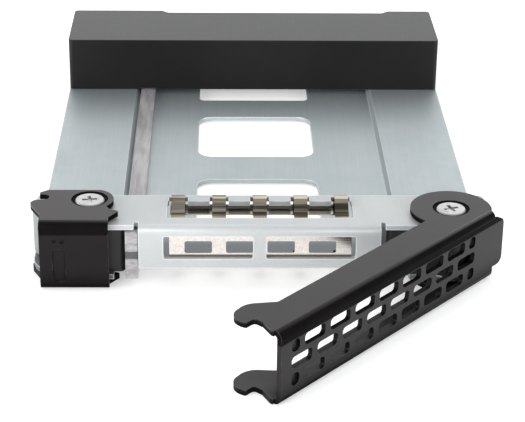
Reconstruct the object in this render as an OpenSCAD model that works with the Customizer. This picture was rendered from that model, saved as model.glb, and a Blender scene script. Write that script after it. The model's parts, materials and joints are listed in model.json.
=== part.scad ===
// Hot-swap tray for a 2.5 inch drive: a sheet-steel plate with a front bracket, a slotted
// pull lever on the right, a sprung latch on the left, a row of grounding fingers,
// a light pipe with two status lenses and a moulded block across the rear.
// Millimetres. X runs to the right, Y to the rear and Z up. The origin is the centre of
// the four drive screw holes, at the height of the shelves that the drive lies on.

/* [Tray plate] */
// Width across the two side shelves
tray_w = 70; // [70:1:86]
// Length from the closed lever's face line to the rear edge
tray_l = 112; // [110:1:140]
// Thickness of the steel sheet of plate and bracket
sheet_t = 0.8; // [0.6:0.05:1]
// Width of each side shelf
shelf_w = 13; // [12:0.5:14]
// Drop of the middle floor below the shelves
floor_drop = 0.93; // [0.6:0.01:1]
// Width of the windows in the middle floor
window_w = 20.4; // [12:0.2:24]
// Length of the windows in the middle floor
window_l = 18.3; // [12:0.1:19]
// Distance of the drive holes from the side edges
hole_inset = 4.14; // [3.6:0.01:5]
// Radius of the drive holes
hole_r = 1.7; // [1.6:0.05:2]
// Distance of the front drive holes from the face line
hole_front_y = 23; // [20:0.5:28]
// Distance of the rear drive holes from the rear edge
hole_rear_gap = 12.4; // [10:0.1:14]

/* [Front bracket] */
// Height of the bracket's top face above the shelves
bracket_h = 8.3; // [7.8:0.1:11]
// Distance of the bracket's rear edge from the face line
bracket_rear_y = 12.7; // [12.2:0.1:16]
// Distance of the front panel's face from the face line
panel_y = 1.4; // [1.3:0.05:1.8]
// Mean distance of the front panel's ends from the side edges
panel_inset = 16.75; // [16.5:0.05:18]
// Height of the front panel's lower edge above the shelves
panel_low_z = 1.37; // [1:0.01:2]
// Outer radius of the sheet bends
bend_r = 1.2; // [1.1:0.05:1.5]
// Height of the two panel windows
panel_window_h = 3.7; // [2.5:0.1:4]
// Width of the bar between the panel windows
panel_bar_w = 2; // [1.5:0.1:4]

/* [Lever] */
// Angle at which the lever stands open
lever_open = 48; // [0:1:54]
// Thickness of the lever's and the latch's sheet
channel_t = 0.8; // [0.7:0.05:1]
// Distance of the lever's pivot from the right edge
lever_pivot_inset = 6.22; // [6:0.02:7]
// Distance of the lever's pivot from the face line
lever_pivot_y = 5.82; // [5.6:0.02:6.5]
// Width of the lever's upper flange along most of its length
lever_flange_w = 6.1; // [5.5:0.1:6.2]
// Width of the lever's lower flange along most of its length
lever_low_flange_w = 5.2; // [4.5:0.1:6.2]
// Radius of the lobe round the lever's pivot
lever_lobe_r = 6.2; // [6:0.1:6.8]
// Length of one slot in the lever's face
slot_l = 4.4; // [3:0.1:5]
// Height of one slot in the lever's face
slot_h = 1.85; // [1.2:0.05:2]
// Distance between the rows of slots
slot_row_pitch = 2.6; // [2.3:0.05:2.8]

/* [Latch] */
// Width of the latch's face
latch_w = 10.35; // [9.5:0.05:11]
// Distance of the latch's pivot from the left edge
latch_pivot_inset = 8.76; // [8.5:0.02:9]
// Distance of the latch's pivot from the face line
latch_pivot_y = 8.96; // [8.8:0.02:9.4]
// Distance of the latch's face from the face line
latch_face_y = 0.5; // [0.3:0.05:0.6]
// Wire diameter of the latch spring
spring_wire = 0.5; // [0.35:0.05:0.6]
// Number of turns of the latch spring
spring_turns = 5; // [3:1:6]

/* [Pivots] */
// Radius of the bushes that the lever and the latch turn on
bush_r = 2.75; // [2.65:0.05:2.9]
// Radius of the posts between the plate and the bracket
post_r = 2.6; // [2.4:0.05:2.8]
// Radial clearance between a bush and the hole that turns on it
run_gap = 0.07; // [0.03:0.01:0.1]
// Radius of the heads of the pivot screws
head_r = 2.25; // [2:0.05:2.4]
// Radius of the shanks of the pivot screws
shank_r = 1.25; // [1:0.05:1.4]

/* [Grounding fingers] */
// Width of one finger
finger_w = 2.1; // [1.5:0.1:2.4]
// Distance between neighbouring fingers
finger_pitch = 6.25; // [5.5:0.05:7]
// Thickness of the spring strip
strip_t = 0.2; // [0.15:0.05:0.25]

/* [Light pipe] */
// Width of the lenses and of the light pipe's riser
pipe_w = 1.9; // [1.5:0.1:1.9]
// Height of the bar that lies on the middle floor
pipe_h = 0.85; // [0.6:0.05:1]

/* [Rear block] */
// Height of the rear block
block_h = 9.94; // [8:0.1:14]
// Depth of the rear block
block_d = 17.24; // [14:0.1:20]
// Distance of the rear block's back face from the tray's rear edge
block_rear_gap = 16.2; // [15.6:0.1:20]
// Wall thickness of the rear block
block_wall = 1.8; // [1.4:0.1:2.4]

/* [Hidden] */
$fn = 48;
// A cut runs this far past the faces that it opens.
past = 1;
// The moving sheets ride this far above and below the fixed sheets.
ride_gap = 0.3;
// A fixed round piece has this radial clearance in its hole.
fit_gap = 0.05;

half_w = tray_w / 2;
floor_half = half_w - shelf_w;
floor_top = -floor_drop;
floor_low = floor_top - sheet_t;
flange_low = bracket_h - sheet_t;
channel_top = bracket_h + ride_gap + channel_t;
channel_low = -sheet_t - ride_gap - channel_t;
channel_mid = (channel_top + channel_low) / 2;
hole_x = half_w - hole_inset;
hole_rear_y = tray_l - hole_rear_gap;
origin_y = (hole_front_y + hole_rear_y) / 2;
lever_pivot_x = half_w - lever_pivot_inset;
latch_pivot_x = -half_w + latch_pivot_inset;

// Outline of the fixed sheets beside the panel
wing_gap = 0.7;
wing_y = latch_face_y + channel_t + wing_gap;
wing_corner_r = 6;
pivot_nose_r = 4.6;
nose_step = 0.2;
side_step_y = lever_pivot_y + 0.6;
side_step_rise = 0.7;
panel_half = half_w - panel_inset;
panel_shift = -0.35;
relief_w = 0.7;
relief_y = panel_y + bend_r + 0.6;

// Middle floor
floor_front_y = 9;
wing_overlap = 0.5;
tongue_gap = 0.1;
step_run = 0.7;
window_fronts = [20.75, 48.7, 75.25];
window_corner = 2.5;
rear_window_corner = 1;

// Bracket cheeks and feet
cheek_left_y = 8.6;
cheek_right_y = lever_pivot_y + 0.9;
foot_w = bend_r + 2.3;
rivet_r = 0.8;
rivet_head_r = 1.1;
rivet_head_h = 0.4;
rivet_y = 10.6;
rivet_x = half_w - bend_r - rivet_head_r - 0.1;

// Panel windows and finger slot
panel_window_z = 4.8;
panel_margin = 3.75;
panel_window_corner = 0.3;
panel_window_w = panel_half - panel_margin - panel_bar_w / 2;
finger_margin = 4.75;
finger_count = floor((2 * panel_half - 2 * finger_margin) / finger_pitch) + 1;
finger_shift = -0.23;
strip_end = 0.2;
strip_half = (finger_count - 1) * finger_pitch / 2 + finger_w / 2 + strip_end;
slot_front_y = 4.55;
slot_rear_y = 10.55;
slot_side_gap = 0.4;
finger_notch_gap = 0.4;
finger_notch_y = 12.1;

// Lever in its own frame: u runs from the pivot to the free end, v to the rear
lever_face_v = -5.85;
lever_inner_v = lever_face_v + channel_t;
lever_end_x = -half_w + 17.03;
web_end_u = lever_pivot_x - lever_end_x;
web_start_u = -3.5;
cam_u = -5.9;
cam_h = 7.8;
cam_lift = 0.2;
cam_corner = 1.2;
flange_over = 0.3;
ear_r = 2.95;
ear_mid = [web_end_u - 2.05, 0.05];
ear_tip_r = 2.42;
ear_tip_mid = [web_end_u - 1.2, 0.5];
ear_slope_l = 6.35;
ear_turn = 45;
ear_notch_v = -0.5;
ear_notch_w = 3.75;
ear_notch_depth = 0.95;
ear_notch_corner = 0.5;
slot_gap = 1.1;
slot_corner = 0.65;
slot_pitch = slot_l + slot_gap;
slot_count = floor((web_end_u - 3.3 + slot_gap) / slot_pitch);
slot_start_u = 1.65;
pocket_depth = 0.4;

// Latch in the tray's frame
latch_left_x = latch_pivot_x - 7.16;
latch_right_x = latch_left_x + latch_w;
latch_overhang = 0.2;
latch_tip = [-half_w - latch_overhang, 8];
latch_rear_y = latch_pivot_y + 3.3;
latch_rear_left_x = latch_pivot_x - 6.3;
latch_prong_x = latch_tip[0] + 1.2;
latch_prong_y = 0.75;
latch_side_l = 1.8;
latch_tip_front = [0.15, -1.2];
latch_tip_point = [0, -0.2];
latch_tip_back = [0.6, 0.6];
latch_corner = [0.3, 0.9];
latch_lobe_r = 3.65;
latch_neck = [2.6, -2.4];
latch_notch = [latch_tip[0] + 1.8, 9.65];
latch_notch_r = 0.95;
tab_reach = 1.35;
tab_y = 2.6;
tab_l = 2.8;
tab_slope = 1.5;
tab_tip_r = 0.4;
rib_w = 1.9;
rib_h = 5.4;
rib_depth = 0.15;
rib_x = latch_left_x + 2.9;
rib_z = 2.3;
dimple_r = 0.35;
dimple_z = 6.3;
dimple_pitch = 1.1;

// Pivot hardware
bush_h = channel_t + ride_gap - 0.2;
head_seat = 0.4;
head_h = 0.55;
head_chamfer = 0.15;
shank_l = 3.2;
post_bore_l = 3.5;
recess_w = 0.55;
recess_l = 2.3;
recess_depth = 0.35;

// Latch spring
spring_r = 3.3;
spring_low_z = 2.1;
spring_rise = 0.62;
spring_leg_gap = 0.12;
spring_steps = 20;
spring_sides = 8;
spring_rear_leg = 4.6;
spring_extra_turn = 0.75;
spring_slot_left = 1.3;
spring_slot_right = 0.8;

// Pivot blocks
block_front_y = 3;
left_block_right_x = -half_w + 14.25;
block_foot_gap = 0.2;
left_block_left_x = -half_w + foot_w + block_foot_gap;
left_block_rear_y = 12.4;
right_block_left_x = half_w - 16.2;
right_block_rear_y = 11.4;
right_block_nose_r = 4.3;
block_nose_past = 0.5;
pocket_r = 4.1;
pocket_low_z = 1.4;
pocket_high_z = 6.1;
rear_slot_y = latch_pivot_y + 1.9;
rear_slot_w = 5.2;
mould_corner = 0.8;

// Grounding fingers
strip_y = panel_y + sheet_t;
strip_top_z = flange_low - (bend_r - sheet_t) - 0.02;
strip_low_z = 1.75;
strip_rear_y = 12;
strip_front_cut_y = 4;
strip_rear_cut_y = 8.45;
strip_hole_h = 2;
strip_hole_corner = 0.3;
strip_hole_z = 4.55;
arch_front_y = 4.4;
arch_l = 7.4;
arch_rise = bracket_h + 1.3 - strip_top_z;
arch_skew = 2.3;
root_l = 0.3;
arch_steps = 14;
low_front_y = 3.8;
low_l = 4.9;
low_clear = 0.1;
low_fall = strip_low_z - channel_low - channel_t - low_clear;
low_skew = 2.2;
low_end = 0.94;

// Light pipe
pipe_x = -half_w + 15.35;
pipe_side_gap = 0.2;
pipe_end_gap = 0.3;
bar_left_x = -floor_half + step_run / 2 + pipe_side_gap;
bar_w = pipe_x + pipe_w / 2 - bar_left_x;
riser_drop = 0.4;
pipe_front_y = 2.6;
lens_front_y = 1.5;
lens_low_z = -0.6;
lens_high_z = 7.3;
divider_low_z = 2.8;
divider_high_z = 3.9;
lens_corner = 0.45;
riser_rear_y = 4.8;
pipe_rear_y = tray_l - 1;
divider_setback = 0.35;

// Rear block
block_back_y = tray_l - block_rear_gap;
block_face_y = block_back_y - block_d;
block_corner = 0.8;
lug_left_w = 18.4;
lug_right_w = 9.5;
lug_depth = 1.15;
lug_slope = 1.2;
block_rib_t = 1.2;
block_rib_pitch = 22;
boss_r = 3;
block_screw_x = half_w - 6.5;
block_screw_y = block_back_y - block_d / 2;
block_head_r = 2.3;
block_head_h = 0.95;
block_screw_l = 5.5;
block_screw_r = 1.25;

// ---------------------------------------------------------------- helpers

// Middle of finger i, from the left
function finger_x(i) = finger_shift + (i - (finger_count - 1) / 2) * finger_pitch;

// Everything below is drawn with Y counted from the closed lever's face line.
module in_tray() {
    translate([0, -origin_y, 0]) children();
}

module rounded_rect(size, r) {
    translate([r, 0]) square([size[0] - 2 * r, size[1]]);
    translate([0, r]) square([size[0], size[1] - 2 * r]);
    for (x = [r, size[0] - r], y = [r, size[1] - r]) translate([x, y]) circle(r = r, $fn = 32);
}

// A flat sheet between two heights
module sheet(low, high) {
    translate([0, 0, low]) linear_extrude(high - low) children();
}

// Extrudes a profile, drawn as [distance along Y, height], from x0 to x1
module along_x(x0, x1) {
    translate([x0, 0, 0]) rotate([90, 0, 90]) linear_extrude(x1 - x0) children();
}

// Extrudes a profile, drawn as [x, height], from y0 to y1
module along_y(y0, y1) {
    translate([0, y1, 0]) rotate([90, 0, 0]) linear_extrude(y1 - y0) children();
}

// A quarter ring about the origin in the corner of -X and +Y
module bend_arc(outer_r, inner_r) {
    intersection() {
        difference() {
            circle(r = outer_r);
            circle(r = inner_r);
        }
        translate([-outer_r - past, 0]) square(outer_r + past);
    }
}

// Profile of a sheet-metal channel: a face with a bend and a short flange above and below
module channel_profile(face, low, high, t) {
    middle = face + bend_r;
    translate([face, low + bend_r]) square([t, high - low - 2 * bend_r]);
    translate([middle, high - bend_r]) bend_arc(bend_r, bend_r - t);
    translate([middle, low + bend_r]) mirror([0, 1]) bend_arc(bend_r, bend_r - t);
}

module at_lever_pivot() {
    translate([lever_pivot_x, lever_pivot_y, 0]) children();
}

module at_latch_pivot() {
    translate([latch_pivot_x, latch_pivot_y, 0]) children();
}

// ---------------------------------------------------------------- fixed steel

// Front outline of the fixed sheets: a rounded left corner, and on the right a nose
// round the lever's pivot with a step that the opening lever swings past
module wings_outline(inner_x, rear_y) {
    translate([-half_w, wing_y + wing_corner_r])
        square([wing_corner_r, rear_y - wing_y - wing_corner_r]);
    translate([-half_w + wing_corner_r, wing_y])
        square([half_w - wing_corner_r - inner_x, rear_y - wing_y]);
    intersection() {
        translate([-half_w + wing_corner_r, wing_y + wing_corner_r]) circle(r = wing_corner_r);
        translate([-half_w, 0]) square([wing_corner_r + past, rear_y]);
    }
    translate([inner_x, wing_y]) square([lever_pivot_x - inner_x, rear_y - wing_y]);
    translate([lever_pivot_x, lever_pivot_y]) circle(r = pivot_nose_r);
    polygon([
        [lever_pivot_x, side_step_y],
        [lever_pivot_x + pivot_nose_r - nose_step, side_step_y],
        [half_w, side_step_y + side_step_rise],
        [half_w, rear_y],
        [lever_pivot_x, rear_y]
    ]);
}

// Cross-section of the plate behind its front edge
module plate_profile() {
    polygon([
        [-half_w, 0], [-floor_half - step_run / 2, 0], [-floor_half + step_run / 2, floor_top],
        [floor_half - step_run / 2, floor_top], [floor_half + step_run / 2, 0], [half_w, 0],
        [half_w, -sheet_t], [floor_half - step_run / 4, -sheet_t],
        [floor_half - step_run, floor_low], [-floor_half + step_run, floor_low],
        [-floor_half + step_run / 4, -sheet_t], [-half_w, -sheet_t]
    ]);
}

module window_cut(front_y, corner) {
    translate([-window_w / 2, front_y, floor_low - past])
        linear_extrude(sheet_t + 2 * past) rounded_rect([window_w, window_l], corner);
}

module tray_plate() {
    color("#aab2b6") in_tray() difference() {
        union() {
            along_y(floor_front_y, tray_l) plate_profile();
            sheet(-sheet_t, 0) difference() {
                wings_outline(floor_half - wing_overlap, floor_front_y + past);
                translate([-floor_half - wing_overlap + tongue_gap, -past])
                    square([2 * (floor_half + wing_overlap - tongue_gap),
                        floor_front_y + 3 * past]);
            }
        }
        for (i = [0, 1]) window_cut(window_fronts[i], window_corner);
        window_cut(window_fronts[2], rear_window_corner);
        for (x = [-hole_x, hole_x], y = [hole_front_y, hole_rear_y])
            translate([x, y, -sheet_t - past]) cylinder(r = hole_r, h = sheet_t + 2 * past);
        for (x = [-block_screw_x, block_screw_x])
            translate([x, block_screw_y, -sheet_t - past])
                cylinder(r = block_screw_r + fit_gap, h = sheet_t + 2 * past);
        for (x = [-rivet_x, rivet_x])
            translate([x, rivet_y, -sheet_t - past])
                cylinder(r = rivet_r + fit_gap, h = sheet_t + 2 * past);
        at_lever_pivot() translate([0, 0, -sheet_t - past])
            cylinder(r = shank_r + fit_gap, h = sheet_t + 2 * past);
        at_latch_pivot() translate([0, 0, -sheet_t - past])
            cylinder(r = shank_r + fit_gap, h = sheet_t + 2 * past);
    }
}

// Top flange of the bracket, without the bend at the panel
module flange_outline() {
    difference() {
        union() {
            wings_outline(panel_half, bracket_rear_y);
            translate([-panel_half - past, panel_y + bend_r])
                square([2 * panel_half + 2 * past, bracket_rear_y - panel_y - bend_r]);
        }
        translate([panel_shift - panel_half, 0]) {
            for (x = [-relief_w, 2 * panel_half]) translate([x, 0])
                square([relief_w, relief_y]);
            square([2 * panel_half, panel_y + bend_r]);
        }
        translate([finger_shift - strip_half - slot_side_gap, slot_front_y])
            square([2 * (strip_half + slot_side_gap), slot_rear_y - slot_front_y]);
        for (i = [0 : finger_count - 1])
            translate([finger_x(i) - finger_w / 2 - finger_notch_gap, slot_rear_y - past])
                square([finger_w + 2 * finger_notch_gap, finger_notch_y - slot_rear_y + past]);
        translate([lever_pivot_x, lever_pivot_y]) circle(r = shank_r + fit_gap);
        translate([latch_pivot_x, latch_pivot_y]) circle(r = shank_r + fit_gap);
        for (side = [-1, 1]) translate([side * half_w, 0])
            square([2 * bend_r, 2 * bracket_rear_y + 2 * past], center = true);
    }
}

// One cheek with its bend and its foot, on the right-hand side
module cheek(front_y) {
    along_y(front_y, bracket_rear_y) {
        translate([half_w - sheet_t, bend_r]) square([sheet_t, bracket_h - 2 * bend_r]);
        translate([half_w - bend_r, bracket_h - bend_r]) mirror([1, 0])
            bend_arc(bend_r, bend_r - sheet_t);
        translate([half_w - bend_r, bend_r]) rotate(180) bend_arc(bend_r, bend_r - sheet_t);
        translate([half_w - foot_w, 0]) square([foot_w - bend_r, sheet_t]);
    }
}

module front_bracket() {
    color("#c9cccd") in_tray() difference() {
        union() {
            sheet(flange_low, bracket_h) flange_outline();
            along_x(panel_shift - panel_half, panel_shift + panel_half) {
                translate([panel_y, panel_low_z])
                    square([sheet_t, bracket_h - bend_r - panel_low_z]);
                translate([panel_y + bend_r, bracket_h - bend_r])
                    bend_arc(bend_r, bend_r - sheet_t);
            }
            cheek(cheek_right_y);
            mirror([1, 0, 0]) cheek(cheek_left_y);
        }
        for (side = [0, 1]) translate([panel_shift, 0, 0]) mirror([side, 0, 0])
            along_y(panel_y - past, panel_y + sheet_t + past)
                translate([panel_bar_w / 2, panel_window_z - panel_window_h / 2])
                    rounded_rect([panel_window_w, panel_window_h], panel_window_corner);
        for (x = [-rivet_x, rivet_x])
            translate([x, rivet_y, -past])
                cylinder(r = rivet_r + fit_gap, h = sheet_t + 2 * past);
    }
}

module bracket_rivets() {
    color("#9a9da0") in_tray() for (x = [-rivet_x, rivet_x]) translate([x, rivet_y, 0]) {
        translate([0, 0, -sheet_t]) cylinder(r = rivet_r, h = 2 * sheet_t);
        translate([0, 0, sheet_t]) cylinder(r = rivet_head_r, h = rivet_head_h);
    }
}

// ---------------------------------------------------------------- grounding fingers

// Height of a finger above its root at share s of its length: a lopsided half wave
function arch_z(s, skew) = sin(180 * pow(s, skew));

// Profile of one finger as a strip of even height along a lopsided arch
module arch_profile(length, rise, skew, last) {
    shares = [for (i = [0 : arch_steps]) last * i / arch_steps];
    polygon(concat(
        [for (s = shares) [s * length, rise * arch_z(s, skew) + strip_t / 2]],
        [for (i = [arch_steps : -1 : 0])
            [shares[i] * length, rise * arch_z(shares[i], skew) - strip_t / 2]]
    ));
}

module emi_gasket() {
    color("#8d8378") in_tray() {
        difference() {
            translate([finger_shift, 0, 0]) union() {
                along_x(-strip_half, strip_half) {
                    translate([strip_y, strip_low_z])
                        square([strip_t, strip_top_z - strip_low_z]);
                    translate([strip_y, strip_top_z - strip_t])
                        square([strip_rear_y - strip_y, strip_t]);
                    translate([strip_y, strip_low_z])
                        square([low_front_y - strip_y + root_l, strip_t]);
                }
            }
            for (i = [0 : finger_count - 2]) {
                gap_x = finger_x(i) + finger_w / 2;
                hole_w = finger_pitch - finger_w;
                along_y(strip_y - past, strip_y + strip_t + past)
                    translate([gap_x, strip_hole_z - strip_hole_h / 2])
                        rounded_rect([hole_w, strip_hole_h], strip_hole_corner);
                translate([gap_x, strip_front_cut_y, strip_top_z - past])
                    cube([hole_w, strip_rear_cut_y - strip_front_cut_y, 2 * past]);
            }
            for (i = [0 : finger_count - 1])
                translate([finger_x(i) - finger_w / 2 - past / 2,
                    arch_front_y + root_l, strip_top_z - past])
                    cube([finger_w + past, strip_rear_cut_y - arch_front_y - root_l, 2 * past]);
        }
        for (i = [0 : finger_count - 1]) {
            along_x(finger_x(i) - finger_w / 2, finger_x(i) + finger_w / 2) {
                translate([arch_front_y, strip_top_z - strip_t / 2])
                    arch_profile(arch_l, arch_rise, arch_skew, 1);
                translate([low_front_y, strip_low_z + strip_t / 2]) mirror([0, 1])
                    arch_profile(low_l, low_fall, low_skew, low_end);
            }
        }
    }
}

// ---------------------------------------------------------------- pivot blocks

module pivot_block_left() {
    color("#1c1d1f") in_tray() difference() {
        sheet(0, flange_low) translate([left_block_left_x, block_front_y])
            rounded_rect([left_block_right_x - left_block_left_x,
                left_block_rear_y - block_front_y], mould_corner);
        at_latch_pivot() {
            translate([0, 0, -past]) cylinder(r = post_r + fit_gap, h = bracket_h + 2 * past);
            translate([0, 0, pocket_low_z])
                cylinder(r = pocket_r, h = pocket_high_z - pocket_low_z);
        }
        translate([latch_pivot_x - spring_r - spring_slot_left, block_front_y - past,
            pocket_low_z])
            cube([spring_slot_left + spring_slot_right, latch_pivot_y - block_front_y + past,
                pocket_high_z - pocket_low_z]);
        translate([latch_pivot_x, rear_slot_y, pocket_low_z])
            cube([rear_slot_w, left_block_rear_y, pocket_high_z - pocket_low_z]);
    }
}

module pivot_block_right() {
    color("#1c1d1f") in_tray() difference() {
        sheet(0, flange_low) {
            translate([right_block_left_x, block_front_y])
                rounded_rect([half_w - foot_w - block_foot_gap - right_block_left_x,
                    right_block_rear_y - block_front_y], mould_corner);
            intersection() {
                translate([lever_pivot_x, lever_pivot_y]) circle(r = right_block_nose_r);
                translate([lever_pivot_x - past, 0])
                    square([2 * right_block_nose_r, lever_pivot_y + block_nose_past]);
            }
        }
        at_lever_pivot() translate([0, 0, -past])
            cylinder(r = post_r + fit_gap, h = bracket_h + 2 * past);
    }
}

// ---------------------------------------------------------------- light pipe

// A slab of the light pipe's width with the given profile in Y and Z
module pipe_slab() {
    along_x(pipe_x - pipe_w / 2, pipe_x + pipe_w / 2) children();
}

module light_pipe() {
    color("#dfe8ea", 0.6) in_tray() {
        translate([bar_left_x, floor_front_y, floor_top])
            cube([bar_w, pipe_rear_y - floor_front_y, pipe_h]);
        pipe_slab() translate([pipe_front_y, lens_low_z]) {
            square([floor_front_y + past - pipe_front_y, floor_top + pipe_h - lens_low_z]);
            square([riser_rear_y - pipe_front_y, lens_high_z - lens_low_z - riser_drop]);
        }
    }
}

module status_lens(low, high) {
    color("#eef3f4", 0.6) in_tray() pipe_slab()
        translate([lens_front_y, low]) difference() {
            rounded_rect([pipe_front_y - lens_front_y + lens_corner, high - low], lens_corner);
            translate([pipe_front_y - lens_front_y, -past])
                square([2 * past, high - low + 2 * past]);
        }
}

module status_lens_upper() {
    status_lens(divider_high_z, lens_high_z);
}

module status_lens_lower() {
    status_lens(lens_low_z, divider_low_z);
}

module lens_divider() {
    color("#4a4b4d") in_tray() pipe_slab()
        translate([lens_front_y + divider_setback, divider_low_z])
            square([pipe_front_y - lens_front_y - divider_setback,
                divider_high_z - divider_low_z]);
}

// ---------------------------------------------------------------- lever

// The lever is drawn closed, with u along -X, and then turned open about its pivot.
module lever_frame() {
    in_tray() at_lever_pivot() rotate([0, 0, lever_open]) mirror([1, 0, 0]) children();
}

// The notch in front of an ear: a square corner at the ear, a slope towards the bend
module ear_notch() {
    translate([web_end_u + flange_over, ear_notch_v]) {
        translate([ear_notch_corner - ear_notch_depth, -ear_notch_corner])
            circle(r = ear_notch_corner);
        polygon([
            [ear_notch_corner - ear_notch_depth, 0], [past, 0], [past, -ear_notch_w],
            [0, -ear_notch_w], [-ear_notch_depth / 3, -ear_notch_w * 0.8],
            [-ear_notch_depth, -ear_notch_w * 0.4], [-ear_notch_depth, -ear_notch_corner]
        ]);
    }
}

// Plan of a lever flange behind the bend: a strip, the lobe round the pivot, and the ear
module lever_flange(width) {
    bend_v = lever_face_v + bend_r;
    flange_rear_v = lever_face_v + width;
    difference() {
        union() {
            intersection() {
                circle(r = lever_lobe_r, $fn = 96);
                translate([-2 * lever_lobe_r, bend_v]) square(4 * lever_lobe_r);
            }
            translate([0, bend_v])
                square([web_end_u + flange_over, flange_rear_v - bend_v]);
            translate(ear_mid) circle(r = ear_r, $fn = 96);
            translate(ear_tip_mid) circle(r = ear_tip_r, $fn = 96);
            polygon([
                ear_mid, ear_mid + ear_r * [-sin(ear_turn), cos(ear_turn)],
                [web_end_u - ear_slope_l, flange_rear_v], [web_end_u - ear_slope_l, bend_v]
            ]);
        }
        ear_notch();
        circle(r = bush_r + run_gap);
    }
}

// Lower edge of a row of slots, counted from the middle row
function slot_low(row) = channel_mid + row * slot_row_pitch - slot_h / 2;

// The through slots of the lever's face, with the middle row shifted by half a pitch
module slot_pattern() {
    for (row = [-1, 0, 1]) {
        shift = row == 0 ? 0 : slot_pitch / 2;
        count = row == 0 ? slot_count : slot_count - 1;
        for (i = [0 : count - 1])
            translate([slot_start_u + shift + i * slot_pitch, slot_low(row)])
                rounded_rect([slot_l, slot_h], slot_corner);
    }
}

// The short pockets that finish the upper and lower rows at both ends
module end_pockets() {
    row_end = slot_start_u + slot_count * slot_pitch - slot_gap;
    half_slot = (slot_l - slot_gap) / 2;
    for (row = [-1, 1], u = [slot_start_u, row_end - half_slot])
        translate([u, slot_low(row)]) rounded_rect([half_slot, slot_h], slot_corner);
}

module lever() {
    color("#242426") lever_frame() {
        difference() {
            along_x(web_start_u, web_end_u)
                channel_profile(lever_face_v, channel_low, channel_top, channel_t);
            along_y(lever_face_v - past, lever_inner_v + past) slot_pattern();
            along_y(lever_face_v - past, lever_face_v + pocket_depth) end_pockets();
        }
        along_y(lever_face_v, lever_inner_v)
            translate([cam_u, channel_mid + cam_lift - cam_h / 2])
                rounded_rect([web_start_u - cam_u + 2 * cam_corner, cam_h], cam_corner);
        sheet(channel_top - channel_t, channel_top) lever_flange(lever_flange_w);
        sheet(channel_low, channel_low + channel_t) lever_flange(lever_low_flange_w);
    }
}

// ---------------------------------------------------------------- pivot hardware

// A post clamped between the plate and the bracket's flange
module pivot_post() {
    color("#8f9396") difference() {
        cylinder(r = post_r, h = flange_low);
        for (z = [-past, flange_low - post_bore_l])
            translate([0, 0, z]) cylinder(r = shank_r + fit_gap, h = post_bore_l + past);
    }
}

// A bush with a seat for the screw head, drawn standing on z = 0
module bush() {
    color("#2b2c2e") difference() {
        cylinder(r = bush_r, h = bush_h);
        translate([0, 0, -past]) cylinder(r = shank_r + fit_gap, h = bush_h + 2 * past);
        translate([0, 0, bush_h - head_seat]) cylinder(r = head_r + fit_gap, h = head_seat + past);
    }
}

// A cross-recess screw, drawn with its head's lower face at z = 0
module cross_screw() {
    color("#d6d8d9") difference() {
        union() {
            rotate_extrude() polygon([
                [0, 0], [head_r, 0], [head_r, head_h - head_chamfer],
                [head_r - head_chamfer, head_h], [0, head_h]
            ]);
            translate([0, 0, -shank_l]) cylinder(r = shank_r, h = shank_l + head_h / 2);
        }
        for (a = [0, 90]) rotate([0, 0, a])
            translate([-recess_l / 2, -recess_w / 2, head_h - recess_depth])
                cube([recess_l, recess_w, past]);
    }
}

module top_bush() {
    translate([0, 0, bracket_h]) bush();
}

module bottom_bush() {
    translate([0, 0, -sheet_t]) mirror([0, 0, 1]) bush();
}

module top_screw() {
    translate([0, 0, bracket_h + bush_h - head_seat]) cross_screw();
}

module bottom_screw() {
    translate([0, 0, -sheet_t - bush_h + head_seat]) mirror([0, 0, 1]) cross_screw();
}

module lever_pivot_post() {
    in_tray() at_lever_pivot() pivot_post();
}

module lever_bush_top() {
    in_tray() at_lever_pivot() top_bush();
}

module lever_bush_bottom() {
    in_tray() at_lever_pivot() bottom_bush();
}

module lever_screw_top() {
    in_tray() at_lever_pivot() rotate([0, 0, 20]) top_screw();
}

module lever_screw_bottom() {
    in_tray() at_lever_pivot() bottom_screw();
}

module latch_pivot_post() {
    in_tray() at_latch_pivot() pivot_post();
}

module latch_bush_top() {
    in_tray() at_latch_pivot() top_bush();
}

module latch_bush_bottom() {
    in_tray() at_latch_pivot() bottom_bush();
}

module latch_screw_top() {
    in_tray() at_latch_pivot() rotate([0, 0, 8]) top_screw();
}

module latch_screw_bottom() {
    in_tray() at_latch_pivot() bottom_screw();
}

// ---------------------------------------------------------------- latch

// Plan of a latch flange behind the bend: a pointed left side with a round notch behind
// the point, a straight rear edge and a thin lobe round the pivot
module latch_flange() {
    bend_y = latch_face_y + bend_r;
    difference() {
        union() {
            polygon([
                [latch_left_x, bend_y], [latch_left_x, bend_y + latch_side_l],
                latch_tip + latch_tip_front, latch_tip + latch_tip_point,
                latch_tip + latch_tip_back,
                [latch_prong_x, latch_tip[1] + latch_prong_y],
                [latch_prong_x, latch_rear_y - latch_corner[1]],
                [latch_rear_left_x - latch_corner[0], latch_rear_y],
                [latch_pivot_x, latch_rear_y],
                [latch_pivot_x, latch_pivot_y] + latch_neck,
                [latch_right_x, tab_y + tab_l],
                [latch_right_x + tab_reach - tab_tip_r, tab_y + tab_slope + 2 * tab_tip_r],
                [latch_right_x + tab_reach, tab_y + tab_slope + tab_tip_r],
                [latch_right_x, tab_y], [latch_right_x, bend_y]
            ]);
            translate([latch_right_x + tab_reach - tab_tip_r, tab_y + tab_slope + tab_tip_r])
                circle(r = tab_tip_r);
            translate([latch_pivot_x, latch_pivot_y]) circle(r = latch_lobe_r);
        }
        translate(latch_notch) circle(r = latch_notch_r);
        translate(latch_notch - [4 * latch_notch_r, latch_notch_r])
            square([4 * latch_notch_r, 2 * latch_notch_r]);
        translate([latch_pivot_x - latch_lobe_r, latch_rear_y])
            square([3 * latch_lobe_r, latch_lobe_r]);
        translate([latch_pivot_x, latch_pivot_y]) circle(r = bush_r + run_gap);
    }
}

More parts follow.
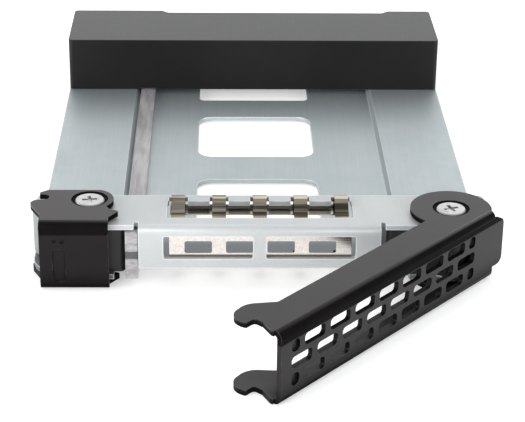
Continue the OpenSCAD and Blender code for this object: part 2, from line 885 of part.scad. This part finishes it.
module latch() {
    color("#242426") in_tray() difference() {
        union() {
            along_x(latch_left_x, latch_right_x)
                channel_profile(latch_face_y, channel_low, channel_top, channel_t);
            sheet(channel_top - channel_t, channel_top) latch_flange();
            sheet(channel_low, channel_low + channel_t) latch_flange();
        }
        along_y(latch_face_y - past, latch_face_y + rib_depth)
            translate([rib_x - rib_w / 2, rib_z - rib_h / 2])
                rounded_rect([rib_w, rib_h], rib_w / 3);
        for (side = [-0.5, 0.5])
            along_y(latch_face_y - past, latch_face_y + rib_depth)
                translate([rib_x + side * dimple_pitch, dimple_z]) circle(r = dimple_r);
    }
}

// Route of the torsion spring's wire: a front leg against the latch's face, turns round
// the post, and a rear leg in the pivot block's slot
function spring_path() =
    let(front_y = latch_face_y + channel_t + spring_wire / 2 + spring_leg_gap)
    let(end_z = spring_low_z + spring_turns * spring_rise + spring_rise * spring_extra_turn)
    concat(
        [[latch_pivot_x - spring_r, front_y, spring_low_z]],
        [for (i = [0 : (spring_turns + spring_extra_turn) * spring_steps])
            let(a = 180 + 360 * i / spring_steps)
            [latch_pivot_x + spring_r * cos(a), latch_pivot_y + spring_r * sin(a),
                spring_low_z + spring_rise * i / spring_steps]],
        [[latch_pivot_x + spring_rear_leg, latch_pivot_y + spring_r, end_z]]
    );

function unit(v) = v / norm(v);

// Direction of the wire at point i of its route
function along(path, i) = unit(path[min(i + 1, len(path) - 1)] - path[max(i - 1, 0)]);

// A ring of points round the wire at point i
function wire_ring(path, i) =
    let(t = along(path, i))
    let(side = unit(cross([0, 0, 1], t)))
    let(up = cross(t, side))
    [for (k = [0 : spring_sides - 1])
        let(a = 360 * k / spring_sides)
        path[i] + spring_wire / 2 * (cos(a) * side + sin(a) * up)];

module latch_spring() {
    path = spring_path();
    count = len(path);
    points = [for (i = [0 : count - 1]) each wire_ring(path, i)];
    sides = [for (i = [0 : count - 2], k = [0 : spring_sides - 1])
        let(next = (k + 1) % spring_sides)
        [i * spring_sides + k, (i + 1) * spring_sides + k,
            (i + 1) * spring_sides + next, i * spring_sides + next]];
    first = [for (k = [0 : spring_sides - 1]) k];
    last = [for (k = [spring_sides - 1 : -1 : 0]) (count - 1) * spring_sides + k];
    color("#b9bcbe") in_tray() polyhedron(points = points, faces = concat([first], sides, [last]));
}

// ---------------------------------------------------------------- rear block

// Plan of the rear block: the back face is set in between two lugs of unequal width
module block_outline() {
    difference() {
        translate([-half_w, block_face_y]) rounded_rect([tray_w, block_d], block_corner);
        polygon([
            [-half_w + lug_left_w - lug_slope, block_back_y + past],
            [-half_w + lug_left_w - lug_slope, block_back_y],
            [-half_w + lug_left_w, block_back_y - lug_depth],
            [half_w - lug_right_w, block_back_y - lug_depth],
            [half_w - lug_right_w + lug_slope, block_back_y],
            [half_w - lug_right_w + lug_slope, block_back_y + past]
        ]);
    }
}

module rear_block() {
    inner_d = block_d - 2 * block_wall - lug_depth;
    rib_count = 2 * floor((half_w - block_wall) / block_rib_pitch);
    color("#1f2022") in_tray() difference() {
        union() {
            difference() {
                sheet(0, block_h) block_outline();
                translate([-half_w + block_wall, block_face_y + block_wall, -past])
                    cube([tray_w - 2 * block_wall, inner_d, block_h - block_wall + past]);
            }
            for (i = [0 : rib_count - 1])
                translate([(i - (rib_count - 1) / 2) * block_rib_pitch - block_rib_t / 2,
                    block_face_y + past, 0])
                    cube([block_rib_t, block_d - 2 * past - lug_depth, block_h - past]);
            for (x = [-block_screw_x, block_screw_x])
                translate([x, block_screw_y, 0]) cylinder(r = boss_r, h = block_h - past);
        }
        for (x = [-block_screw_x, block_screw_x])
            translate([x, block_screw_y, -past])
                cylinder(r = block_screw_r + fit_gap, h = block_screw_l + past);
        translate([bar_left_x - pipe_end_gap, block_face_y - past, -past])
            cube([bar_w + 2 * pipe_end_gap, block_d + 2 * past,
                past + floor_top + pipe_h + pipe_end_gap]);
    }
}

module rear_block_screws() {
    color("#c4c7c9") in_tray() for (x = [-block_screw_x, block_screw_x])
        translate([x, block_screw_y, -sheet_t]) difference() {
            union() {
                translate([0, 0, -block_head_h]) cylinder(r = block_head_r, h = block_head_h);
                cylinder(r = block_screw_r, h = block_screw_l);
            }
            for (a = [0, 90]) rotate([0, 0, a])
                translate([-recess_l / 2, -recess_w / 2, -block_head_h - past])
                    cube([recess_l, recess_w, past + recess_depth]);
        }
}

// ---------------------------------------------------------------- what is drawn

tray_plate();
front_bracket();
bracket_rivets();
emi_gasket();
pivot_block_left();
pivot_block_right();
light_pipe();
status_lens_upper();
status_lens_lower();
lens_divider();
lever();
lever_pivot_post();
lever_bush_top();
lever_bush_bottom();
lever_screw_top();
lever_screw_bottom();
latch();
latch_pivot_post();
latch_bush_top();
latch_bush_bottom();
latch_screw_top();
latch_screw_bottom();
latch_spring();
rear_block();
rear_block_screws();
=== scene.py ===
# The looks of a hot-swap drive tray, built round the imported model. Metres.
import json
import math

import bpy
from mathutils import Matrix, Vector


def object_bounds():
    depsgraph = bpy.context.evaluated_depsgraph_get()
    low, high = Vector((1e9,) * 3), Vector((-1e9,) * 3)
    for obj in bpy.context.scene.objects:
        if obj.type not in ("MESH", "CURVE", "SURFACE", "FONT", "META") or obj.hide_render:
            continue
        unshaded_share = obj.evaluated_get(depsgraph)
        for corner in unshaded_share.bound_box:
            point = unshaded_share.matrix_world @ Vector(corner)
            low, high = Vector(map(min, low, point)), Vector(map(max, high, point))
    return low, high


MM = 0.001

# Camera: where it stands, how it is turned, and its lens for a 525 x 422 frame
CAMERA_PLACE = (-6.17 * MM, -295.58 * MM, 123.08 * MM)
CAMERA_PITCH = math.radians(25.233)
CAMERA_YAW = math.radians(1.532)
CAMERA_ROLL = math.radians(0.705)
CAMERA_LENS = 120.22
CAMERA_SENSOR = 36.0
CAMERA_SHIFT = (-0.0019, -0.0116)
CAMERA_CLIP = (0.01, 20.0)

# Studio: brightness of the surroundings to the front and the rear, and where along the
# view's Y it changes over; then each light's name, place, aim, size and radiance
WORLD_FRONT = 0.62
WORLD_REAR = 0.68
WORLD_TURN = 0.6
WORLD_COLOUR = (0.97, 0.985, 1.0, 1.0)
LIGHTS = (
    ("rear_top", (0.0, 0.55, 0.85), (0, 0, 0), (1.6, 1.1), 1.1),
    ("rear_low", (0.0, 1.2, 0.34), (0, 0, 0), (2.2, 0.6), 0.45),
    ("front_left", (-0.75, -0.75, 0.3), (0, -0.05, 0), (0.75, 0.45), 8.5),
    ("front_right", (0.6, -0.85, 0.3), (0, -0.05, 0), (0.6, 0.45), 7.5),
    ("left_side", (-1.1, 0.1, 0.4), (0, 0, 0), (0.8, 0.5), 1.8),
)

# Floor: its side, how far it lies below the part, its own glow and its two greys
FLOOR_SIZE = 6.0
FLOOR_DROP = 0.05 * MM
FLOOR_GLOW = 0.35
FLOOR_DARK = (0.86, 0.86, 0.86)
FLOOR_LIGHT = (0.88, 0.88, 0.88)

# How wide the edges of each kind of piece are rounded, and the angle that counts as an edge
SHEET_EDGE = 0.08 * MM
MOULD_EDGE = 0.45 * MM
MOULD_SEGMENTS = 3
SMALL_EDGE = 0.06 * MM
EDGE_ANGLE = math.radians(40)
FLAT_ANGLE = math.radians(1)
WELD_REACH = 0.001 * MM

# Heights of bumps on smooth, moulded and rippled surfaces
FINE_BUMP = 0.02 * MM
GRAIN_BUMP = 0.03 * MM
RIPPLE_BUMP = 0.05 * MM

# Zinc-coated sheet: bare cut edges, and painted shade on the plate under the bracket's flange
CUT_EDGE = 0.28 * MM
CUT_STEEL = (0.70, 0.72, 0.73)
FLANGE_SHADE_SHARE = 0.4
FLANGE_SHADE_FROM = -47.5 * MM
FLANGE_SHADE_TO = -40.0 * MM

# Black paint: its two tones, rubbed edges, painted shade in hollows, painted dark reflection on
# the upper bend
PAINT_DARK = (0.0046, 0.0041, 0.0042)
PAINT_LIGHT = (0.0064, 0.0058, 0.0059)
PAINT_WORN = (0.16, 0.155, 0.15)
PAINT_EDGE = 0.12 * MM
HOLLOW_REACH = 5.0 * MM
SHINE_IN_PAINTED_SHADE = 0.04
BEND_LOW = 7.2 * MM
BEND_LOW_FULL = 7.45 * MM
BEND_HIGH_FULL = 9.1 * MM
BEND_HIGH = 9.3 * MM
PAINTED_REFLECTION_SHINE = 0.05

# Black plastic: rubbed edges
PLASTIC_WORN = (0.06, 0.06, 0.062)
PLASTIC_EDGE = 0.35 * MM

# Nickel strip: pale front face, painted shade at the foot, and brown over the fingers with dark
# bands of painted reflection
NICKEL_REFLECTION_DARK = (0.065, 0.058, 0.044)
NICKEL_BROWN = (0.40, 0.36, 0.29)
NICKEL_PALE = (0.60, 0.55, 0.51)
NICKEL_PALEST = (0.78, 0.73, 0.69)
NICKEL_FOOT_SHADE = (0.16, 0.14, 0.10)
FOOT_LOW = 3.05 * MM
FOOT_HIGH = 3.3 * MM
FINGERS_LOW = 6.4 * MM
FINGERS_HIGH = 7.0 * MM

# Clear acrylic: its two tints
ACRYLIC_DARK = (0.40, 0.38, 0.39)
ACRYLIC_LIGHT = (0.60, 0.59, 0.60)

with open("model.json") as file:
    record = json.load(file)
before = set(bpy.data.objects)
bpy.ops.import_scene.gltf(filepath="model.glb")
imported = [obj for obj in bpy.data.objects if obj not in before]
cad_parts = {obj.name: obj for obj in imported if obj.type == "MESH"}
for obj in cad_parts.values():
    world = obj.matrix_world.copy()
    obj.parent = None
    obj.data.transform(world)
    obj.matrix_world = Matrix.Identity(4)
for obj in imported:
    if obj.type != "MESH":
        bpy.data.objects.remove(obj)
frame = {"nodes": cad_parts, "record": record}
cad_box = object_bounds()
nodes = frame["nodes"]


# ---------------------------------------------------------------- node helpers

class Shader:
    """A new material with a principled shader, and short calls for its nodes."""

    def __init__(self, name):
        self.material = bpy.data.materials.new(name)
        self.material.use_nodes = True
        self.tree = self.material.node_tree
        self.principled = self.tree.nodes["Principled BSDF"]
        self.place = self.add("ShaderNodeTexCoord").outputs["Object"]

    def add(self, kind, **settings):
        """A new node of this kind, with its settings."""
        node = self.tree.nodes.new(kind)
        for key, value in settings.items():
            setattr(node, key, value)
        return node

    def link(self, source, target):
        self.tree.links.new(source, target)

    def set(self, **values):
        """Uniform values, set on the shader's own sockets."""
        for key, value in values.items():
            self.principled.inputs[key.replace("_", " ")].default_value = value

    def stretched(self, scale):
        """Coordinates in metres times a scale along each axis."""
        mapping = self.add("ShaderNodeMapping")
        mapping.inputs["Scale"].default_value = scale
        self.link(self.place, mapping.inputs["Vector"])
        return mapping.outputs["Vector"]

    def noise(self, scale, detail=3.0, rough=0.5, at=None):
        """Noise over the piece, or over stretched coordinates."""
        node = self.add("ShaderNodeTexNoise")
        node.inputs["Scale"].default_value = scale
        node.inputs["Detail"].default_value = detail
        node.inputs["Roughness"].default_value = rough
        self.link(at or self.place, node.inputs["Vector"])
        return node.outputs["Fac"]

    def cells(self, scale):
        """Crystal cells, each of its own grey."""
        node = self.add("ShaderNodeTexVoronoi")
        node.inputs["Scale"].default_value = scale
        self.link(self.place, node.inputs["Vector"])
        grey = self.add("ShaderNodeRGBToBW")
        self.link(node.outputs["Color"], grey.inputs[0])
        return grey.outputs[0]

    def band(self, value, low, high, out_low, out_high):
        """Maps a value from one range to another, held at the ends."""
        node = self.add("ShaderNodeMapRange")
        self.link(value, node.inputs["Value"])
        node.inputs["From Min"].default_value = low
        node.inputs["From Max"].default_value = high
        node.inputs["To Min"].default_value = out_low
        node.inputs["To Max"].default_value = out_high
        return node.outputs["Result"]

    def maths(self, operation, a, b):
        """One operation on two sockets or numbers."""
        node = self.add("ShaderNodeMath", operation=operation)
        for socket, value in zip(node.inputs, (a, b)):
            if isinstance(value, (int, float)):
                socket.default_value = value
            else:
                self.link(value, socket)
        return node.outputs[0]

    def ramp(self, value, stops):
        """A colour that goes through the stops as the value rises."""
        node = self.add("ShaderNodeValToRGB")
        elements = node.color_ramp.elements
        while len(elements) < len(stops):
            elements.new(1.0)
        for element, (position, colour) in zip(elements, stops):
            element.position = position
            element.color = (*colour, 1.0)
        self.link(value, node.inputs["Fac"])
        return node.outputs["Color"]

    def mix(self, share, a, b):
        """Colour a at share 0 and colour b at share 1."""
        node = self.add("ShaderNodeMix", data_type="RGBA")
        for socket, value in ((node.inputs[0], share), (node.inputs[6], a), (node.inputs[7], b)):
            if isinstance(value, (int, float)):
                socket.default_value = value
            elif isinstance(value, tuple):
                socket.default_value = (*value, 1.0)
            else:
                self.link(value, socket)
        return node.outputs[2]

    def along(self, axis, low, high):
        """0 to 1 from one place to the other along an axis of the piece."""
        split = self.add("ShaderNodeSeparateXYZ")
        self.link(self.place, split.inputs[0])
        return self.band(split.outputs[axis], low, high, 0.0, 1.0)

    def openness(self, reach):
        """About 1 on open faces and lower in hollows."""
        node = self.add("ShaderNodeAmbientOcclusion", samples=8)
        node.inputs["Distance"].default_value = reach
        return node.outputs["AO"]

    def edge_wear(self, radius):
        """About 1 along convex edges and 0 on flat faces."""
        bevel = self.add("ShaderNodeBevel", samples=6)
        bevel.inputs["Radius"].default_value = radius
        geometry = self.add("ShaderNodeNewGeometry")
        dot = self.add("ShaderNodeVectorMath", operation="DOT_PRODUCT")
        self.link(bevel.outputs["Normal"], dot.inputs[0])
        self.link(geometry.outputs["Normal"], dot.inputs[1])
        return self.band(dot.outputs["Value"], 0.99, 0.85, 0.0, 1.0)

    def bump(self, height, strength, distance):
        """Raises the surface by a height socket."""
        node = self.add("ShaderNodeBump")
        node.inputs["Strength"].default_value = strength
        node.inputs["Distance"].default_value = distance
        self.link(height, node.inputs["Height"])
        self.link(node.outputs["Normal"], self.principled.inputs["Normal"])


# ---------------------------------------------------------------- materials

def galvanised(name, dark, light, rough_low, rough_high, spangle, shine, shade_under_flange=False):
    """Zinc-coated sheet: faint crystal cells, rolling lines along Y and fine scratches.

    Optionally the zinc is painted darker towards the front: painted shade where the bracket lies
    over it."""
    s = Shader(name)
    s.set(Metallic=shine, Specular_IOR_Level=0.4)
    cells = s.cells(420.0)
    rolled = s.noise(1.0, 4.0, 0.6, s.stretched((2600.0, 60.0, 2600.0)))
    clouds = s.noise(70.0, 3.0, 0.55)
    tone = s.maths("ADD", s.maths("MULTIPLY", cells, spangle), s.maths("MULTIPLY", rolled, 0.35))
    tone = s.maths("ADD", tone, s.maths("MULTIPLY", clouds, 0.65 - spangle))
    face = s.ramp(tone, [(0.2, dark), (0.8, light)])
    # Painted shade: the plate's colour darkens towards the front, under the bracket's flange
    if shade_under_flange:
        flange_shade = tuple(FLANGE_SHADE_SHARE * c for c in dark)
        face = s.mix(s.along("Y", FLANGE_SHADE_FROM, FLANGE_SHADE_TO), flange_shade, face)
    cut = s.edge_wear(CUT_EDGE)
    s.link(s.mix(cut, face, CUT_STEEL), s.principled.inputs["Base Color"])
    s.link(s.band(tone, 0.2, 0.8, rough_high, rough_low), s.principled.inputs["Roughness"])
    fine = s.noise(1.0, 2.0, 0.5, s.stretched((9000.0, 300.0, 9000.0)))
    s.bump(s.maths("ADD", fine, s.maths("MULTIPLY", cells, 0.6)), 0.10, FINE_BUMP)
    return s.material


def black_paint(name, gloss, rough, dust):
    """Baked black paint on sheet steel: orange peel and rubbed edges, with painted shade in the
    hollows and a painted dark reflection on the upper bend.
    """
    s = Shader(name)
    s.set(Metallic=0.0, Specular_Tint=(1.0, 0.93, 0.94, 1.0))
    s.set(Sheen_Roughness=0.35, Sheen_Tint=(1.0, 0.94, 0.95, 1.0))
    peel = s.noise(2200.0, 2.0, 0.5)
    cloud = s.noise(160.0, 3.0, 0.6)
    patchy = s.band(s.noise(900.0), 0.45, 0.7, 0.0, 0.55)
    wear = s.maths("MULTIPLY", s.edge_wear(PAINT_EDGE), patchy)
    paint = s.ramp(cloud, [(0.3, PAINT_DARK), (0.7, PAINT_LIGHT)])
    s.link(s.mix(wear, paint, PAINT_WORN), s.principled.inputs["Base Color"])
    # Painted shade: shine and sheen drop in hollows, following ambient occlusion
    unshaded_share = s.band(s.openness(HOLLOW_REACH), 0.55, 0.9, SHINE_IN_PAINTED_SHADE, 1.0)
    # Painted reflection: shine and sheen drop in a band along the upper bend, standing in for a
    # dark room reflected there
    rise = s.along("Z", BEND_LOW, BEND_LOW_FULL)
    fall = s.along("Z", BEND_HIGH_FULL, BEND_HIGH)
    painted_reflection_band = s.maths("SUBTRACT", rise, fall)
    unshaded_share = s.maths("MULTIPLY", unshaded_share, s.band(painted_reflection_band, 0.0, 1.0, 1.0, PAINTED_REFLECTION_SHINE))
    s.link(s.maths("MULTIPLY", unshaded_share, gloss), s.principled.inputs["Specular IOR Level"])
    s.link(s.maths("MULTIPLY", unshaded_share, dust), s.principled.inputs["Sheen Weight"])
    s.link(s.band(cloud, 0.3, 0.7, rough - 0.04, rough + 0.04), s.principled.inputs["Roughness"])
    s.bump(peel, 0.12, FINE_BUMP)
    return s.material


def moulded_black(name, tone, rough, grain, gloss=0.4, dust=0.0):
    """Black moulded plastic with a fine eroded grain and paler rubbed edges."""
    s = Shader(name)
    s.set(Metallic=0.0, Specular_IOR_Level=gloss)
    s.set(Sheen_Weight=dust, Sheen_Roughness=0.4)
    fine = s.noise(3600.0, 2.0, 0.6)
    cloud = s.noise(90.0, 4.0, 0.6)
    low = tuple(0.8 * c for c in tone)
    high = tuple(1.25 * c for c in tone)
    body = s.ramp(cloud, [(0.3, low), (0.7, high)])
    wear = s.maths("MULTIPLY", s.edge_wear(PLASTIC_EDGE), 0.35)
    s.link(s.mix(wear, body, PLASTIC_WORN), s.principled.inputs["Base Color"])
    s.link(s.band(fine, 0.3, 0.7, rough - 0.06, rough + 0.08), s.principled.inputs["Roughness"])
    s.bump(fine, grain, GRAIN_BUMP)
    return s.material


def bright_metal(name, dark, light, rough, line_scale):
    """Bright plated metal with soft lines and small marks."""
    s = Shader(name)
    s.set(Metallic=1.0)
    lines = s.noise(1.0, 3.0, 0.6, s.stretched(line_scale))
    spots = s.noise(700.0, 3.0, 0.6)
    tone = s.maths("ADD", s.maths("MULTIPLY", lines, 0.6), s.maths("MULTIPLY", spots, 0.4))
    s.link(s.ramp(tone, [(0.3, dark), (0.7, light)]), s.principled.inputs["Base Color"])
    s.link(s.band(tone, 0.3, 0.7, rough * 1.35, rough * 0.8), s.principled.inputs["Roughness"])
    s.bump(lines, 0.05, FINE_BUMP)
    return s.material


def nickel_strip(name):
    """Bright nickel: pale on the face, painted shade at the foot, brown over the fingers with
    dark bands of painted reflection.
    """
    s = Shader(name)
    s.set(Metallic=1.0)
    # Painted reflection: dark bands across the fingers stand in for dark surroundings reflected
    # in them
    reflection_bands = s.noise(1.0, 2.0, 0.6, s.stretched((30.0, 620.0, 620.0)))
    lines = s.noise(1.0, 2.0, 0.6, s.stretched((60.0, 5200.0, 5200.0)))
    tone = s.maths("ADD", s.maths("MULTIPLY", reflection_bands, 0.75), s.maths("MULTIPLY", lines, 0.25))
    brown = s.ramp(tone, [(0.42, NICKEL_REFLECTION_DARK), (0.56, NICKEL_BROWN)])
    grain = s.noise(5000.0, 2.0, 0.6)
    pale = s.ramp(grain, [(0.3, NICKEL_PALE), (0.7, NICKEL_PALEST)])
    tint = s.mix(s.along("Z", FINGERS_LOW, FINGERS_HIGH), pale, brown)
    # Painted shade: the strip is dark at its foot, below the front face
    above_foot = s.along("Z", FOOT_LOW, FOOT_HIGH)
    s.link(s.mix(above_foot, NICKEL_FOOT_SHADE, tint), s.principled.inputs["Base Color"])
    s.link(s.band(lines, 0.3, 0.7, 0.20, 0.10), s.principled.inputs["Roughness"])
    s.bump(lines, 0.06, FINE_BUMP)
    return s.material


def clear_acrylic(name):
    """Clear moulded acrylic, a little grey, with a slight ripple."""
    s = Shader(name)
    s.set(Transmission_Weight=0.45, IOR=1.49, Specular_IOR_Level=0.5)
    ripple = s.noise(1.0, 3.0, 0.6, s.stretched((900.0, 120.0, 1800.0)))
    tint = s.ramp(ripple, [(0.35, ACRYLIC_DARK), (0.62, ACRYLIC_LIGHT)])
    s.link(tint, s.principled.inputs["Base Color"])
    s.link(s.band(s.noise(900.0), 0.3, 0.7, 0.10, 0.22), s.principled.inputs["Roughness"])
    s.bump(ripple, 0.25, RIPPLE_BUMP)
    return s.material


MATERIALS = {
    "galvanised_steel": galvanised("galvanised_steel", dark=(0.325, 0.365, 0.374),
                                   light=(0.425, 0.462, 0.470), rough_low=0.38, rough_high=0.52,
                                   spangle=0.07, shine=0.66, shade_under_flange=True),
    "bracket_steel": galvanised("bracket_steel", dark=(0.39, 0.405, 0.41),
                                light=(0.465, 0.48, 0.485), rough_low=0.38, rough_high=0.48,
                                spangle=0.06, shine=0.25),
    "black_paint": black_paint("black_paint", gloss=0.19, rough=0.32, dust=0.21),
    "latch_paint": black_paint("latch_paint", gloss=0.14, rough=0.24, dust=0.36),
    "black_plastic": moulded_black("black_plastic", tone=(0.012, 0.012, 0.013), rough=0.42,
                                   grain=0.12),
    "block_plastic": moulded_black("block_plastic", tone=(0.004, 0.0038, 0.0039), rough=0.46,
                                   grain=0.30, gloss=0.2, dust=0.26),
    "grey_plastic": moulded_black("grey_plastic", tone=(0.085, 0.083, 0.085), rough=0.45,
                                  grain=0.12),
    "black_bush": moulded_black("black_bush", tone=(0.002, 0.002, 0.002), rough=0.6,
                                grain=0.08, gloss=0.03),
    "nickel_strip": nickel_strip("nickel_strip"),
    "zinc_screw": bright_metal("zinc_screw", dark=(0.36, 0.36, 0.355), light=(0.56, 0.56, 0.55),
                               rough=0.30, line_scale=(900.0, 900.0, 900.0)),
    "rivet_steel": bright_metal("rivet_steel", dark=(0.50, 0.51, 0.52), light=(0.68, 0.69, 0.70),
                                rough=0.32, line_scale=(900.0, 900.0, 900.0)),
    "turned_steel": bright_metal("turned_steel", dark=(0.45, 0.46, 0.47),
                                 light=(0.62, 0.63, 0.64), rough=0.28,
                                 line_scale=(60.0, 60.0, 4000.0)),
    "spring_steel": bright_metal("spring_steel", dark=(0.38, 0.38, 0.39),
                                 light=(0.55, 0.55, 0.56), rough=0.25,
                                 line_scale=(500.0, 500.0, 500.0)),
    "clear_acrylic": clear_acrylic("clear_acrylic"),
}


def dress(name, slot):
    """Gives a CAD node its material."""
    piece = nodes[name]
    piece.data.materials.clear()
    piece.data.materials.append(MATERIALS[slot])


def soften(name, width, segments=2):
    """Rounds a CAD node's edges: its split faces are joined, then the edges bevelled."""
    piece = nodes[name]
    weld = piece.modifiers.new("weld", "WELD")
    weld.merge_threshold = WELD_REACH
    flat = piece.modifiers.new("flat", "DECIMATE")
    flat.decimate_type = "DISSOLVE"
    flat.angle_limit = FLAT_ANGLE
    bevel = piece.modifiers.new("bevel", "BEVEL")
    bevel.width = width
    bevel.segments = segments
    bevel.limit_method = "ANGLE"
    bevel.angle_limit = EDGE_ANGLE
    bevel.harden_normals = True
    bevel.use_clamp_overlap = True


for row in frame["record"]["subparts"]:
    dress(row["node"], row["material_slot"])
# The latch is painted like the lever, but looks dustier on top and less glossy
dress("latch", "latch_paint")
for sheet in ("tray_plate", "front_bracket", "lever", "latch"):
    soften(sheet, SHEET_EDGE)
soften("rear_block", MOULD_EDGE, MOULD_SEGMENTS)
for small in ("pivot_block_left", "pivot_block_right", "light_pipe", "status_lens_upper",
              "status_lens_lower", "latch_bush_top", "lever_bush_top"):
    soften(small, SMALL_EDGE)


# ---------------------------------------------------------------- floor, light, camera

def floor():
    """Plain pale paper just below the part."""
    low = cad_box[0][2]
    bpy.ops.mesh.primitive_plane_add(size=FLOOR_SIZE, location=(0, 0, low - FLOOR_DROP))
    plane = bpy.context.object
    plane.name = "floor"
    s = Shader("floor_paper")
    s.set(Roughness=0.9, Specular_IOR_Level=0.1)
    s.set(Emission_Color=(1.0, 1.0, 1.0, 1.0), Emission_Strength=FLOOR_GLOW)
    tone = s.ramp(s.noise(30.0), [(0.3, FLOOR_DARK), (0.7, FLOOR_LIGHT)])
    s.link(tone, s.principled.inputs["Base Color"])
    plane.data.materials.append(s.material)


def soft_light(name, place, target, size, radiance):
    """A rectangular lamp, whose power follows from its size and radiance."""
    data = bpy.data.lights.new(name, "AREA")
    data.shape = "RECTANGLE"
    data.size, data.size_y = size
    data.energy = radiance * math.pi * size[0] * size[1]
    lamp = bpy.data.objects.new(name, data)
    bpy.context.scene.collection.objects.link(lamp)
    lamp.location = place
    aim = Vector(target) - Vector(place)
    lamp.rotation_euler = aim.to_track_quat("-Z", "Y").to_euler()


def camera():
    """A camera at the viewing angle, from its pitch, yaw and roll."""
    data = bpy.data.cameras.new("camera")
    data.sensor_width = CAMERA_SENSOR
    data.lens = CAMERA_LENS
    data.shift_x, data.shift_y = CAMERA_SHIFT
    data.clip_start, data.clip_end = CAMERA_CLIP
    eye = bpy.data.objects.new("camera", data)
    bpy.context.scene.collection.objects.link(eye)
    ahead = Vector((math.sin(CAMERA_YAW) * math.cos(CAMERA_PITCH),
                    math.cos(CAMERA_YAW) * math.cos(CAMERA_PITCH), -math.sin(CAMERA_PITCH)))
    right = ahead.cross(Vector((0, 0, 1))).normalized()
    up = right.cross(ahead)
    turn = Matrix((right, up, -ahead)).transposed()
    roll = Matrix.Rotation(CAMERA_ROLL, 3, "Z")
    eye.matrix_world = Matrix.Translation(CAMERA_PLACE) @ (turn @ roll).to_4x4()
    bpy.context.scene.camera = eye


def studio():
    """Even pale surroundings, a little brighter to the rear, and the large soft lamps."""
    world = bpy.data.worlds.new("studio")
    bpy.context.scene.world = world
    world.use_nodes = True
    tree = world.node_tree
    place = tree.nodes.new("ShaderNodeTexCoord")
    split = tree.nodes.new("ShaderNodeSeparateXYZ")
    shade = tree.nodes.new("ShaderNodeMapRange")
    tree.links.new(place.outputs["Generated"], split.inputs[0])
    tree.links.new(split.outputs["Y"], shade.inputs["Value"])
    shade.inputs["From Min"].default_value = -WORLD_TURN
    shade.inputs["From Max"].default_value = WORLD_TURN
    shade.inputs["To Min"].default_value = WORLD_FRONT
    shade.inputs["To Max"].default_value = WORLD_REAR
    tree.links.new(shade.outputs["Result"], tree.nodes["Background"].inputs["Strength"])
    tree.nodes["Background"].inputs["Color"].default_value = WORLD_COLOUR
    bpy.context.scene.view_settings.view_transform = "Standard"
    for name, place, target, size, radiance in LIGHTS:
        soft_light(name, place, target, size, radiance)


floor()
camera()
studio()
